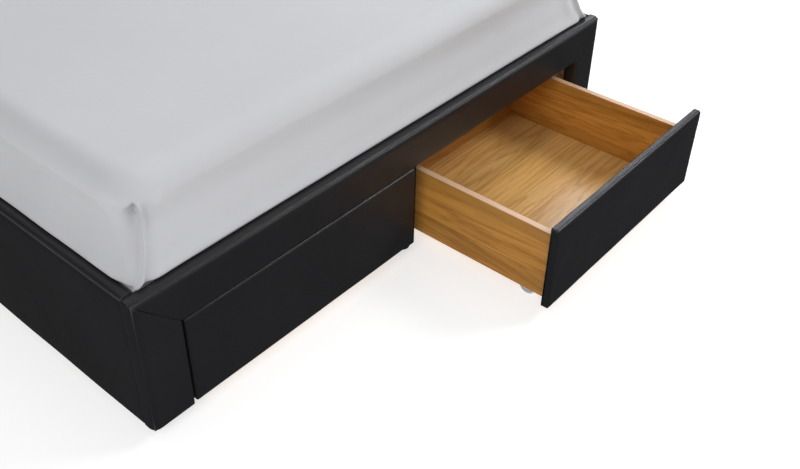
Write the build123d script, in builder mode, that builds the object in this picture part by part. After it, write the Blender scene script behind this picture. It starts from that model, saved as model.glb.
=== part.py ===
from build123d import *

import os

# Upholstered double bed with two storage drawers on castors in its foot end.
# X runs across the bed, Y towards the headboard and Z up from the floor, in millimetres.
# The origin is on the floor, in the middle of the bed's box with the right drawer pulled out.
# The left drawer stands closed, and the right one stands out by OPEN_DISTANCE.

os.makedirs("parts", exist_ok=True)

# ---- frame: the mattress sets the bed's width and length ----
MATTRESS_WIDTH = 1350
MATTRESS_LENGTH = 1900
MATTRESS_THICK = 245
MATTRESS_GAP = 5  # between the mattress and the rails, all round
MATTRESS_CORNER = 50
MATTRESS_EDGE = 35
SHEET_THICK = 1.5
SHEET_HEM = 7  # the sheet ends this far above the mattress's underside
PANEL_THICK = 30  # foot panel and side rails, over their leather
LEATHER = 3  # leather with its thin foam
CLEARANCE = 30  # floor to the underside of the panels
PANEL_TOP = 324
POST_WIDTH = 90
RAIL_HEIGHT = 90  # foot rail above the drawers
EDGE_RADIUS = 8  # outer edges of the upholstered panels
SEAM_RADIUS = 3  # edges where two upholstered panels meet
WOOD_CHAMFER = 2  # eased edges of slats, ledges and legs

# ---- headboard ----
HEADBOARD_TOP = 950
LOWER_PANEL_TOP = 330
PAD_THICK = 40
PAD_RADIUS = 15
PAD_NAMES = ("low", "middle", "top")
BOARD_THICK = 24
WRAP = 2  # leather over the board's back and edges
WRAP_RADIUS = 2

# ---- drawers ----
OPEN_DISTANCE = 341
FRONT_GAP = 16  # between the two drawer fronts
FRONT_SIDE_GAP = 5  # between a front and its post
FRONT_TOP_GAP = 3
FRONT_BOTTOM = 32
FRONT_THICK = 18
FRONT_RADIUS = 5
BOX_INSET = 29  # from the front's edge to the box's side
BOX_LENGTH = 480
BOX_BOTTOM = 29
BOX_TOP = 193
BOX_WALL = 15  # side boards
BOX_END = 12  # inner front and back boards
BOARD_RADIUS = 1.5  # eased top edges of the box's boards
BOTTOM_THICK = 8
BOTTOM_UNDERSIDE = 41
GROOVE = 5  # how deep the bottom sits in the boards round it

# ---- castors ----
WHEEL_RADIUS = 20
WHEEL_WIDTH = 14
WHEEL_FILLET = 1.5
WHEEL_GAP = 1  # from a wheel to the board on one side of it and to its bracket on the other
RIM = 4
HUB_RADIUS = 6
WEB_RECESS = 3
SPOKE_HOLES = 10
SPOKE_HOLE_RADIUS = 1.6
AXLE_RADIUS = 3
AXLE_CLEARANCE = 0.06
AXLE_PLAY = 0.5  # from a wheel's outer face to the head of its axle
RIVET_RADIUS = 4.5
RIVET_HEAD = 1.2
ANGLE_SHEET = 2
ANGLE_EYE = 6
ANGLE_SHOULDER = 14  # half the cheek's length where it leaves the flange
ANGLE_HALF = 26  # half the flange's length
ANGLE_FLANGE = 20
CASTOR_SETBACK = 79  # from the front's face to the first axles, and from the box's end to the last

# ---- slats and what carries them ----
SLAT_COUNT = 13
SLAT_WIDTH = 70
SLAT_THICK = 12
SLAT_Z = 250  # underside of the slats
FIRST_SLAT = 70  # middle of the first slat from the foot panel
SLAT_END_GAP = 4
LEDGE = 25
LEDGE_HEIGHT = 35
BEAM_WIDTH = 50
BEAM_HEIGHT = 30
BEAM_WALL = 2
BEAM_RADIUS = 4
BRACKET_SHEET = 3
BRACKET_REACH = 40
BRACKET_HALF = 46
BRACKET_TOP = 260
LEG_SIDE = 40
LEG_PLACES = (820, 1400)  # from the foot panel's face
DIVIDER_SETBACK = 19
GLIDE = 8
BLOCK = 40
FOOT_RADIUS = 17
FOOT_TAPER = -3  # degrees: wider at the top

# ---- fasteners: head radius, head height, shank radius ----
BOLT = (6.5, 4, 3)
SCREW = (3.2, 1.6, 1.7)
BOLT_BITE = 18  # how far a bolt reaches past the piece under its head
SIDE_BOLT_HEIGHTS = (80, 170)
END_BOLT_HEIGHTS = (100, 190)
BRACKET_BOLT = (36, 246)  # distance from the middle, height
SLAT_SCREW_BITE = 18
CASTOR_SCREW_BITE = 6
CASTOR_SCREW = 18  # from the axle, along the flange
FRONT_SCREW_BITE = 9
FRONT_SCREW_HEIGHTS = (80, 160)
FRONT_SCREW_INSET = 60

# ---- places that follow from the above ----
HALF_WIDTH = MATTRESS_WIDTH / 2 + MATTRESS_GAP + PANEL_THICK
INNER_HALF = HALF_WIDTH - PANEL_THICK
INNER_LENGTH = MATTRESS_LENGTH + 2 * MATTRESS_GAP
BED_LENGTH = PANEL_THICK + INNER_LENGTH + PAD_THICK + BOARD_THICK + WRAP
FOOT_Y = (OPEN_DISTANCE - BED_LENGTH) / 2  # face of the foot panel
PANEL_BACK_Y = FOOT_Y + PANEL_THICK
HEAD_Y = PANEL_BACK_Y + INNER_LENGTH  # face of the headboard
OPENING_HALF = HALF_WIDTH - POST_WIDTH
OPENING_TOP = PANEL_TOP - RAIL_HEIGHT
FRONT_TOP = OPENING_TOP - FRONT_TOP_GAP
FRONT_WIDTH = OPENING_HALF - FRONT_SIDE_GAP - FRONT_GAP / 2
FRONT_CENTRE = FRONT_GAP / 2 + FRONT_WIDTH / 2
BOX_HALF = FRONT_WIDTH / 2 - BOX_INSET
BOX_INNER_HALF = BOX_HALF - BOX_WALL
MATTRESS_Z = SLAT_Z + SLAT_THICK
MATTRESS_TOP = MATTRESS_Z + MATTRESS_THICK
BEAM_Z = SLAT_Z - BEAM_HEIGHT
SHELF_Z = BEAM_Z - BRACKET_SHEET
LEDGE_Z = SLAT_Z - LEDGE_HEIGHT
CHEEK_SEAT = WHEEL_WIDTH / 2 + WHEEL_GAP  # from a wheel's middle to its bracket
AXLE_SEAT = WHEEL_WIDTH / 2 + AXLE_PLAY  # from a wheel's middle to the outer head of its axle
FLANGE_Z = BOTTOM_UNDERSIDE - ANGLE_SHEET
BLOCK_X = INNER_HALF - BLOCK / 2
BLOCK_ROWS = {PANEL_BACK_Y + BLOCK / 2: 1, FOOT_Y + BED_LENGTH / 2: 0, HEAD_Y - BLOCK / 2: -1}
SLAT_PITCH = (INNER_LENGTH - 2 * FIRST_SLAT) / (SLAT_COUNT - 1)
SLAT_ROWS = [PANEL_BACK_Y + FIRST_SLAT + SLAT_PITCH * i for i in range(SLAT_COUNT)]
SIDES = {"left": -1, "right": 1}


def keep(piece, name):
    """Labels a finished piece and writes it as its own node."""
    piece.part.label = name
    export_step(piece.part, f"parts/{name}.step")


def block(x, y, z, mode=Mode.ADD):
    """A box between two limits on each axis, for the part that is being built."""
    size = [high - low for low, high in (x, y, z)]
    middle = [(high + low) / 2 for low, high in (x, y, z)]
    with Locations(tuple(middle)):
        Box(*size, mode=mode)


def span(side, near, far):
    """Limits along X of what lies between two distances from the middle, on one side."""
    return sorted((side * near, side * far))


def about(middle, half):
    """Limits of what reaches the same distance both ways from a middle."""
    return (middle - half, middle + half)


def fastener(seats, kind, reach, socket_sides):
    """Identical bolts or screws whose heads sit on the given planes, with a socket in each head."""
    head_radius, head_height, shank_radius = kind
    with BuildPart() as group:
        with BuildSketch(*seats):
            Circle(head_radius)
        extrude(amount=head_height)
        with BuildSketch(*seats):
            Circle(shank_radius)
        extrude(amount=-reach)
        with BuildSketch(*[seat.offset(head_height) for seat in seats]):
            RegularPolygon(radius=shank_radius, side_count=socket_sides)
        extrude(amount=-head_height / 2, mode=Mode.SUBTRACT)
    return group


# ---------------------------------------------------------------- frame bolts
def block_bolt_seats():
    """Faces under the heads of the bolts through the corner blocks and the middle blocks."""
    seats = []
    for side in SIDES.values():
        for y, towards_middle in BLOCK_ROWS.items():
            for z in SIDE_BOLT_HEIGHTS:
                seats.append(Plane((side * (INNER_HALF - BLOCK), y, z), z_dir=(-side, 0, 0)))
            for z in END_BOLT_HEIGHTS if towards_middle else ():
                face = y + towards_middle * BLOCK / 2
                seats.append(Plane((side * BLOCK_X, face, z), z_dir=(0, towards_middle, 0)))
    return seats


def bracket_bolt_seats():
    """Faces under the bolt heads of the two beam brackets."""
    distance, height = BRACKET_BOLT
    ends = {PANEL_BACK_Y + BRACKET_SHEET: 1, HEAD_Y - BRACKET_SHEET: -1}
    return [
        Plane((side * distance, y, height), z_dir=(0, towards_middle, 0))
        for y, towards_middle in ends.items()
        for side in SIDES.values()
    ]


block_bolts = fastener(block_bolt_seats(), BOLT, BLOCK + BOLT_BITE, 6)
bracket_bolts = fastener(bracket_bolt_seats(), BOLT, BRACKET_SHEET + BOLT_BITE, 6)
with BuildPart() as frame_bolts:
    add([block_bolts.part, bracket_bolts.part])
keep(frame_bolts, "frame_bolts")


# ---------------------------------------------------------------- foot panel
def mitre(side):
    """The plane of a foot panel corner, with the post above it and the rail below it."""
    return Plane((side * HALF_WIDTH, FOOT_Y, PANEL_TOP), x_dir=(0, 1, 0), z_dir=(side, 0, -1))


def rail_section(inset):
    """Section of the foot rail, inset by the thickness of its leather."""
    with BuildSketch(Plane.YZ) as section:
        with Locations((FOOT_Y + PANEL_THICK / 2, (PANEL_TOP + OPENING_TOP) / 2)):
            Rectangle(PANEL_THICK - 2 * inset, RAIL_HEIGHT - 2 * inset)
        if not inset:
            fillet(section.vertices().group_by(Axis.Y)[-1], radius=EDGE_RADIUS)
            fillet(section.vertices().group_by(Axis.Y)[0], radius=SEAM_RADIUS)
    return section.sketch


def post_section(side, inset):
    """Section of a foot post, inset by the thickness of its leather."""
    with BuildSketch(Plane.XY.offset(CLEARANCE)) as section:
        with Locations((side * (HALF_WIDTH - POST_WIDTH / 2), FOOT_Y + PANEL_THICK / 2)):
            Rectangle(POST_WIDTH - 2 * inset, PANEL_THICK - 2 * inset)
        if not inset:
            front = section.vertices().group_by(Axis.Y)[0].sort_by(Axis.X)
            fillet(front[-1] if side > 0 else front[0], radius=EDGE_RADIUS)
            fillet(section.vertices().group_by(Axis.Y)[-1], radius=SEAM_RADIUS)
    return section.sketch


with BuildPart() as foot_rail_core:
    extrude(rail_section(LEATHER), amount=HALF_WIDTH, both=True)
    for side in SIDES.values():
        split(bisect_by=mitre(side), keep=Keep.BOTTOM)
    add(frame_bolts.part, mode=Mode.SUBTRACT)
keep(foot_rail_core, "foot_rail_core")

with BuildPart() as foot_rail_cover:
    extrude(rail_section(0), amount=HALF_WIDTH, both=True)
    extrude(rail_section(LEATHER), amount=HALF_WIDTH, both=True, mode=Mode.SUBTRACT)
    for side in SIDES.values():
        split(bisect_by=mitre(side), keep=Keep.BOTTOM)
    add(frame_bolts.part, mode=Mode.SUBTRACT)
keep(foot_rail_cover, "foot_rail_cover")

for label, side in SIDES.items():
    with BuildPart() as foot_post_core:
        extrude(post_section(side, LEATHER), amount=PANEL_TOP - CLEARANCE)
        split(bisect_by=mitre(side), keep=Keep.TOP)
        add(frame_bolts.part, mode=Mode.SUBTRACT)
    keep(foot_post_core, f"foot_post_core_{label}")

    with BuildPart() as foot_post_cover:
        extrude(post_section(side, 0), amount=PANEL_TOP - CLEARANCE)
        extrude(post_section(side, LEATHER), amount=PANEL_TOP - CLEARANCE, mode=Mode.SUBTRACT)
        split(bisect_by=mitre(side), keep=Keep.TOP)
        add(frame_bolts.part, mode=Mode.SUBTRACT)
    keep(foot_post_cover, f"foot_post_cover_{label}")


# ---------------------------------------------------------------- side rails
def side_rail_section(side, inset):
    """Section of a side rail at its front end, inset by the thickness of its leather."""
    with BuildSketch(Plane((0, PANEL_BACK_Y, 0), x_dir=(1, 0, 0), z_dir=(0, -1, 0))) as section:
        with Locations((side * (HALF_WIDTH - PANEL_THICK / 2), (PANEL_TOP + CLEARANCE) / 2)):
            Rectangle(PANEL_THICK - 2 * inset, PANEL_TOP - CLEARANCE - 2 * inset)
        if not inset:
            fillet(section.vertices().group_by(Axis.Y)[-1], radius=EDGE_RADIUS)
            fillet(section.vertices().group_by(Axis.Y)[0], radius=SEAM_RADIUS)
    return section.sketch


def screw_places(side):
    """Where the slats are screwed to one ledge, seen from above."""
    return [(side * (INNER_HALF - LEDGE / 2), y) for y in SLAT_ROWS]


slat_screw_seats = [Plane((x, y, MATTRESS_Z)) for side in SIDES.values() for x, y in screw_places(side)]
slat_screws = fastener(
    [seat.offset(-SCREW[1]) for seat in slat_screw_seats], SCREW, SLAT_THICK + SLAT_SCREW_BITE, 4
)

for label, side in SIDES.items():
    with BuildPart() as side_rail_core:
        extrude(side_rail_section(side, LEATHER), amount=-INNER_LENGTH)
        add(frame_bolts.part, mode=Mode.SUBTRACT)
    keep(side_rail_core, f"side_rail_core_{label}")

    with BuildPart() as side_rail_cover:
        extrude(side_rail_section(side, 0), amount=-INNER_LENGTH)
        extrude(side_rail_section(side, LEATHER), amount=-INNER_LENGTH, mode=Mode.SUBTRACT)
        add(frame_bolts.part, mode=Mode.SUBTRACT)
    keep(side_rail_cover, f"side_rail_cover_{label}")

    with BuildPart() as slat_ledge:
        block(span(side, INNER_HALF - LEDGE, INNER_HALF), (PANEL_BACK_Y, HEAD_Y), (LEDGE_Z, SLAT_Z))
        inner_edges = slat_ledge.edges().filter_by(Axis.Y).filter_by(lambda e: abs(e.center().X) < BLOCK_X)
        chamfer(inner_edges, length=WOOD_CHAMFER)
        add(slat_screws.part, mode=Mode.SUBTRACT)
    keep(slat_ledge, f"slat_ledge_{label}")


# ---------------------------------------------------------------- blocks and feet
with BuildPart() as support_blocks:
    for side in SIDES.values():
        for y in BLOCK_ROWS:
            block(about(side * BLOCK_X, BLOCK / 2), about(y, BLOCK / 2), (CLEARANCE, LEDGE_Z))
    add(frame_bolts.part, mode=Mode.SUBTRACT)
keep(support_blocks, "support_blocks")

with BuildPart() as frame_feet:
    with BuildSketch():
        with Locations([(side * BLOCK_X, y) for side in SIDES.values() for y in BLOCK_ROWS]):
            Circle(FOOT_RADIUS)
    extrude(amount=CLEARANCE, taper=FOOT_TAPER)
keep(frame_feet, "frame_feet")


# ---------------------------------------------------------------- centre beam and its legs
with BuildPart() as centre_beam:
    front_end = Plane((0, PANEL_BACK_Y + BRACKET_SHEET, 0), x_dir=(1, 0, 0), z_dir=(0, -1, 0))
    with BuildSketch(front_end):
        with Locations((0, BEAM_Z + BEAM_HEIGHT / 2)):
            RectangleRounded(BEAM_WIDTH, BEAM_HEIGHT, BEAM_RADIUS)
            inside = [size - 2 * BEAM_WALL for size in (BEAM_WIDTH, BEAM_HEIGHT)]
            RectangleRounded(*inside, BEAM_RADIUS - BEAM_WALL, mode=Mode.SUBTRACT)
    extrude(amount=2 * BRACKET_SHEET - INNER_LENGTH)
keep(centre_beam, "centre_beam")

with BuildPart() as beam_brackets:
    for y, inward in ((PANEL_BACK_Y, 1), (HEAD_Y, -1)):
        plate = sorted((y, y + inward * BRACKET_SHEET))
        reach = sorted((y + inward * BRACKET_SHEET, y + inward * BRACKET_REACH))
        block(about(0, BRACKET_HALF), plate, (SHELF_Z, BRACKET_TOP))
        block(about(0, BEAM_WIDTH / 2 + BRACKET_SHEET), reach, (SHELF_Z, BEAM_Z))
        for side in SIDES.values():
            cheek = span(side, BEAM_WIDTH / 2, BEAM_WIDTH / 2 + BRACKET_SHEET)
            block(cheek, reach, (BEAM_Z, SLAT_Z - BRACKET_SHEET))
    add(bracket_bolts.part, mode=Mode.SUBTRACT)
keep(beam_brackets, "beam_brackets")

divider_y = FOOT_Y + DIVIDER_SETBACK + LEG_SIDE / 2
leg_ys = [FOOT_Y + place for place in LEG_PLACES]

with BuildPart() as front_divider:
    block(about(0, LEG_SIDE / 2), about(divider_y, LEG_SIDE / 2), (GLIDE, SHELF_Z))
    chamfer(front_divider.edges().filter_by(Axis.Z), length=WOOD_CHAMFER)
keep(front_divider, "front_divider")

with BuildPart() as centre_legs:
    for y in leg_ys:
        block(about(0, LEG_SIDE / 2), about(y, LEG_SIDE / 2), (GLIDE, BEAM_Z))
    chamfer(centre_legs.edges().filter_by(Axis.Z), length=WOOD_CHAMFER)
keep(centre_legs, "centre_legs")

with BuildPart() as leg_glides:
    with BuildSketch():
        with Locations([(0, y) for y in (divider_y, *leg_ys)]):
            Circle(FOOT_RADIUS)
    extrude(amount=GLIDE)
keep(leg_glides, "leg_glides")


# ---------------------------------------------------------------- slats
with BuildPart() as slats:
    for y in SLAT_ROWS:
        block(about(0, INNER_HALF - SLAT_END_GAP), about(y, SLAT_WIDTH / 2), (SLAT_Z, MATTRESS_Z))
    chamfer(slats.edges().filter_by(Axis.X), length=WOOD_CHAMFER)
    add(slat_screws.part, mode=Mode.SUBTRACT)
    with BuildSketch(*slat_screw_seats):
        Circle(SCREW[0])
    extrude(amount=-SCREW[1], mode=Mode.SUBTRACT)
keep(slats, "slats")
keep(slat_screws, "slat_screws")


# ---------------------------------------------------------------- mattress and sheet
def mattress_shape(grow):
    """The mattress, grown on its sides and top by the thickness of a sheet."""
    with BuildPart() as shape:
        ends = (PANEL_BACK_Y + MATTRESS_GAP - grow, HEAD_Y - MATTRESS_GAP + grow)
        block(about(0, MATTRESS_WIDTH / 2 + grow), ends, (MATTRESS_Z, MATTRESS_TOP + grow))
        fillet(shape.edges().filter_by(Axis.Z), radius=MATTRESS_CORNER + grow)
        fillet(shape.faces().sort_by(Axis.Z)[-1].edges(), radius=MATTRESS_EDGE + grow)
    return shape


mattress = mattress_shape(0)
keep(mattress, "mattress")

with BuildPart() as fitted_sheet:
    add(mattress_shape(SHEET_THICK).part)
    add(mattress.part, mode=Mode.SUBTRACT)
    split(bisect_by=Plane.XY.offset(MATTRESS_Z + SHEET_HEM), keep=Keep.TOP)
keep(fitted_sheet, "fitted_sheet")


# ---------------------------------------------------------------- headboard
pad_y = (HEAD_Y, HEAD_Y + PAD_THICK)
board_y = (HEAD_Y + PAD_THICK, HEAD_Y + PAD_THICK + BOARD_THICK)
board_half = HALF_WIDTH - WRAP

with BuildPart() as headboard_board:
    block(about(0, board_half), board_y, (CLEARANCE, HEADBOARD_TOP - WRAP))
keep(headboard_board, "headboard_board")

with BuildPart() as headboard_wrap:
    block(about(0, HALF_WIDTH), (board_y[0], board_y[1] + WRAP), (CLEARANCE, HEADBOARD_TOP))
    top_corners = headboard_wrap.edges().filter_by(Axis.Y).group_by(Axis.Z)[-1]
    fillet(top_corners, radius=WRAP_RADIUS)
    add(headboard_board.part, mode=Mode.SUBTRACT)
keep(headboard_wrap, "headboard_wrap")

with BuildPart() as headboard_lower_panel:
    block(about(0, HALF_WIDTH), pad_y, (CLEARANCE, LOWER_PANEL_TOP))
    add(frame_bolts.part, mode=Mode.SUBTRACT)
keep(headboard_lower_panel, "headboard_lower_panel")

pad_height = (HEADBOARD_TOP - LOWER_PANEL_TOP) / len(PAD_NAMES)
for row, name in enumerate(PAD_NAMES):
    pad_low = LOWER_PANEL_TOP + row * pad_height
    with BuildPart() as headboard_pad:
        block(about(0, HALF_WIDTH), pad_y, (pad_low, pad_low + pad_height))
        fillet(headboard_pad.faces().sort_by(Axis.Y)[0].edges(), radius=PAD_RADIUS)
    keep(headboard_pad, f"headboard_pad_{name}")


# ---------------------------------------------------------------- drawers
def castor_places(centre, front):
    """The plane through the middle of each wheel, facing into the box, by the castor's name."""
    reach = BOX_INNER_HALF - WHEEL_GAP - WHEEL_WIDTH / 2
    rows = {"front": front + CASTOR_SETBACK, "rear": front + FRONT_THICK + BOX_LENGTH - CASTOR_SETBACK}
    return {
        f"{row}_{label}": Plane(
            (centre + side * reach, y, WHEEL_RADIUS), x_dir=(0, -side, 0), z_dir=(-side, 0, 0)
        )
        for row, y in rows.items()
        for label, side in SIDES.items()
    }


def wheel_at(middle):
    """A castor wheel: rim, thinner web with round holes, and hub."""
    outer_face = middle.offset(-WHEEL_WIDTH / 2)
    with BuildPart() as wheel:
        with BuildSketch(outer_face):
            Circle(WHEEL_RADIUS)
        extrude(amount=WHEEL_WIDTH)
        fillet(wheel.edges().filter_by(GeomType.CIRCLE), radius=WHEEL_FILLET)
        for face, inward in ((outer_face, 1), (middle.offset(WHEEL_WIDTH / 2), -1)):
            with BuildSketch(face):
                Circle(WHEEL_RADIUS - RIM)
                Circle(HUB_RADIUS, mode=Mode.SUBTRACT)
            extrude(amount=inward * WEB_RECESS, mode=Mode.SUBTRACT)
        with BuildSketch(outer_face):
            Circle(AXLE_RADIUS + AXLE_CLEARANCE)
            with PolarLocations((HUB_RADIUS + WHEEL_RADIUS - RIM) / 2, SPOKE_HOLES):
                Circle(SPOKE_HOLE_RADIUS)
        extrude(amount=WHEEL_WIDTH, mode=Mode.SUBTRACT)
    return wheel


def brackets_at(middles, holes):
    """Angle brackets: a flange under the drawer's bottom, and a cheek that carries the axle."""
    top = BOTTOM_UNDERSIDE - WHEEL_RADIUS
    seats = [middle.offset(CHEEK_SEAT) for middle in middles]
    with BuildPart() as brackets:
        with BuildSketch(*seats):
            with BuildLine():
                Polyline(
                    (-ANGLE_SHOULDER, top),
                    (-ANGLE_EYE, 0),
                    (ANGLE_EYE, 0),
                    (ANGLE_SHOULDER, top),
                    close=True,
                )
            make_face()
            Circle(ANGLE_EYE)
        extrude(amount=ANGLE_SHEET)
        with BuildSketch(*seats):
            with Locations((0, top - ANGLE_SHEET / 2)):
                Rectangle(2 * ANGLE_HALF, ANGLE_SHEET)
        extrude(amount=ANGLE_FLANGE)
        add(holes, mode=Mode.SUBTRACT)
    return brackets


def axles_at(middles):
    """Axle pins with a rivet head outside the wheel and another behind the cheek."""
    outer_seats = [middle.offset(-AXLE_SEAT) for middle in middles]
    with BuildPart() as axles:
        with BuildSketch(*outer_seats):
            Circle(AXLE_RADIUS)
        extrude(amount=AXLE_SEAT + CHEEK_SEAT + ANGLE_SHEET)
        with BuildSketch(*outer_seats):
            Circle(RIVET_RADIUS)
        extrude(amount=-RIVET_HEAD)
        with BuildSketch(*[middle.offset(CHEEK_SEAT + ANGLE_SHEET) for middle in middles]):
            Circle(RIVET_RADIUS)
        extrude(amount=RIVET_HEAD)
    return axles


def make_drawer(name, side, opened):
    """One drawer: leather front on a wooden box, with four fixed castors."""
    centre = side * FRONT_CENTRE
    front = FOOT_Y - opened
    box_front = front + FRONT_THICK
    box_back = box_front + BOX_LENGTH
    castors = castor_places(centre, front)

    screw_face = box_front + BOX_END
    front_screws = fastener(
        [
            Plane((x, screw_face, z), z_dir=(0, 1, 0))
            for x in about(centre, BOX_INNER_HALF - FRONT_SCREW_INSET)
            for z in FRONT_SCREW_HEIGHTS
        ],
        SCREW,
        BOX_END + FRONT_SCREW_BITE,
        4,
    )
    flange_middles = [middle.offset(CHEEK_SEAT + ANGLE_FLANGE / 2).origin for middle in castors.values()]
    castor_screws = fastener(
        [
            Plane((place.X, place.Y + along * CASTOR_SCREW, FLANGE_Z), z_dir=(0, 0, -1))
            for place in flange_middles
            for along in SIDES.values()
        ],
        SCREW,
        ANGLE_SHEET + CASTOR_SCREW_BITE,
        4,
    )

    with BuildPart() as front_core:
        height = (FRONT_BOTTOM + LEATHER, FRONT_TOP - LEATHER)
        block(about(centre, FRONT_WIDTH / 2 - LEATHER), (front + LEATHER, box_front), height)
        add(front_screws.part, mode=Mode.SUBTRACT)
    keep(front_core, f"{name}_front_core")

    with BuildPart() as front_cover:
        block(about(centre, FRONT_WIDTH / 2), (front, box_front), (FRONT_BOTTOM, FRONT_TOP))
        fillet(front_cover.faces().sort_by(Axis.Y)[0].edges(), radius=FRONT_RADIUS)
        block(about(centre, FRONT_WIDTH / 2 - LEATHER), (front + LEATHER, box_front), height, Mode.SUBTRACT)
    keep(front_cover, f"{name}_front_cover")

    with BuildPart() as bottom:
        block(
            about(centre, BOX_INNER_HALF + GROOVE),
            (box_front + BOX_END - GROOVE, box_back - BOX_END + GROOVE),
            (BOTTOM_UNDERSIDE, BOTTOM_UNDERSIDE + BOTTOM_THICK),
        )
        add(castor_screws.part, mode=Mode.SUBTRACT)
    keep(bottom, f"{name}_bottom")

    for label, hand in SIDES.items():
        with BuildPart() as box_side:
            wall = sorted((centre + hand * BOX_INNER_HALF, centre + hand * BOX_HALF))
            block(wall, (box_front, box_back), (BOX_BOTTOM, BOX_TOP))
            fillet(box_side.edges().filter_by(Axis.Y).group_by(Axis.Z)[-1], radius=BOARD_RADIUS)
            add(bottom.part, mode=Mode.SUBTRACT)
        keep(box_side, f"{name}_side_{label}")

    ends = {"inner_front": (box_front, box_front + BOX_END), "back": (box_back - BOX_END, box_back)}
    for label, y in ends.items():
        with BuildPart() as box_end:
            block(about(centre, BOX_INNER_HALF), y, (BOX_BOTTOM, BOX_TOP))
            fillet(box_end.edges().filter_by(Axis.X).group_by(Axis.Z)[-1], radius=BOARD_RADIUS)
            add([bottom.part, front_screws.part], mode=Mode.SUBTRACT)
        keep(box_end, f"{name}_{label}")

    axles = axles_at(castors.values())
    keep(axles, f"{name}_castor_axles")
    keep(brackets_at(castors.values(), [axles.part, castor_screws.part]), f"{name}_castor_brackets")
    for corner, middle in castors.items():
        keep(wheel_at(middle), f"{name}_wheel_{corner}")
    keep(castor_screws, f"{name}_castor_screws")
    keep(front_screws, f"{name}_front_screws")


make_drawer("left_drawer", SIDES["left"], 0)
make_drawer("right_drawer", SIDES["right"], OPEN_DISTANCE)
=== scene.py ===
"""Looks of an upholstered double bed with two storage drawers in its foot end.

Metres throughout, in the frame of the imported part: X across the bed, Y towards the headboard,
Z up from the floor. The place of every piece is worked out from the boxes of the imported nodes.
"""

import math

import bmesh
import bpy
import numpy as np
from mathutils import Matrix, Vector


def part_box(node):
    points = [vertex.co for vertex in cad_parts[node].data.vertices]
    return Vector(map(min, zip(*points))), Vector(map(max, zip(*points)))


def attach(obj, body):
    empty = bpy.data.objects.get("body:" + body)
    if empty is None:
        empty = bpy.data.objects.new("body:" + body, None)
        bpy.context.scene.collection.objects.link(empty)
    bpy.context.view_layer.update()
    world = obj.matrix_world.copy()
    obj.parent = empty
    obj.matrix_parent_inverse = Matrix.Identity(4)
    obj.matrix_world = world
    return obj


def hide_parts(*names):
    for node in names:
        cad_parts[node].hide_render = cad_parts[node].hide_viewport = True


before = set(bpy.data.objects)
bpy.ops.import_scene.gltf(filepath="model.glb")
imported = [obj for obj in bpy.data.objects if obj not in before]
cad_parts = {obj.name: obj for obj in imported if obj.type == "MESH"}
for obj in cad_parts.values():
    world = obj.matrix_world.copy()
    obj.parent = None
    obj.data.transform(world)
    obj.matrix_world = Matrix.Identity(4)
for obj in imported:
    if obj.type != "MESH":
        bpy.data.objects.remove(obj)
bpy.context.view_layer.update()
MM = 0.001
SIDES = {"left": -1, "right": 1}
DRAWERS = ("left_drawer", "right_drawer")


# ------------------------------------------------------------------ camera
CAMERA_AZIMUTH = -50.238
CAMERA_ELEVATION = 36.025
CAMERA_ROLL = 1.201
CAMERA_PLACE = (-1.2658, -1.8384, 1.3343)
CAMERA_LENS = 42.169
CAMERA_SHIFT = -0.05
SENSOR_WIDTH = 36


def make_camera():
    """The camera that looks down at the foot end from its left corner."""
    azimuth, elevation = math.radians(CAMERA_AZIMUTH), math.radians(CAMERA_ELEVATION)
    back = Vector(
        (
            math.sin(azimuth) * math.cos(elevation),
            -math.cos(azimuth) * math.cos(elevation),
            math.sin(elevation),
        )
    )
    camera = bpy.data.objects.new("camera", bpy.data.cameras.new("camera"))
    bpy.context.scene.collection.objects.link(camera)
    camera.rotation_mode = "QUATERNION"
    level = (-back).to_track_quat("-Z", "Y")
    roll = Matrix.Rotation(math.radians(CAMERA_ROLL), 3, "Z").to_quaternion()
    camera.rotation_quaternion = level @ roll
    camera.location = CAMERA_PLACE
    camera.data.sensor_width = SENSOR_WIDTH
    camera.data.lens = CAMERA_LENS
    camera.data.shift_y = CAMERA_SHIFT
    camera.data.clip_start = 0.05
    bpy.context.scene.camera = camera


make_camera()


# ------------------------------------------------------------------ mesh tools
def make_object(name, vertices, faces, material, smooth=True):
    """A mesh object in the part's frame, with one material."""
    mesh = bpy.data.meshes.new(name)
    mesh.from_pydata(np.asarray(vertices).tolist(), [], [list(map(int, face)) for face in faces])
    mesh.validate()
    mesh.polygons.foreach_set("use_smooth", [smooth] * len(mesh.polygons))
    piece = bpy.data.objects.new(name, mesh)
    bpy.context.scene.collection.objects.link(piece)
    mesh.materials.append(material)
    return piece


def quads_between(rings, count):
    """Faces between rings of points that follow each other, with count points in each ring."""
    faces = []
    for first in range(0, (rings - 1) * count, count):
        for i in range(count):
            j = (i + 1) % count
            faces.append((first + i, first + j, first + count + j, first + count + i))
    return faces


def wave_noise(points, wavelength, seed, terms=9):
    """Smooth seeded noise between about -1 and 1 over points in space: a sum of plane waves."""
    random = np.random.default_rng(seed)
    total = np.zeros(len(points))
    for _ in range(terms):
        direction = random.normal(size=3)
        direction /= np.linalg.norm(direction)
        stretch = random.uniform(0.6, 1.5)
        phase = random.uniform(0, 2 * math.pi)
        total += np.sin(points @ direction * (2 * math.pi / wavelength * stretch) + phase)
    return total / math.sqrt(terms * 2)


ARC_POINTS = 7  # points on each rounded edge
END_STATIONS = 6  # stations over each rounded end
CROWN_POWER = 7  # how flat a crown stays before it falls to the edges
END_POWER = 8  # the same, towards the ends
PUCKER_WAVE = 0.028
PUCKER_REACH = 0.022
CAP_SHARE = 0.8  # size of the flat middle of a panel's end


def rectangle(half_w, half_h):
    """Corners of a rectangle about the origin, anticlockwise from the lower left."""
    return np.array(((-half_w, -half_h), (half_w, -half_h), (half_w, half_h), (-half_w, half_h)))


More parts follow.
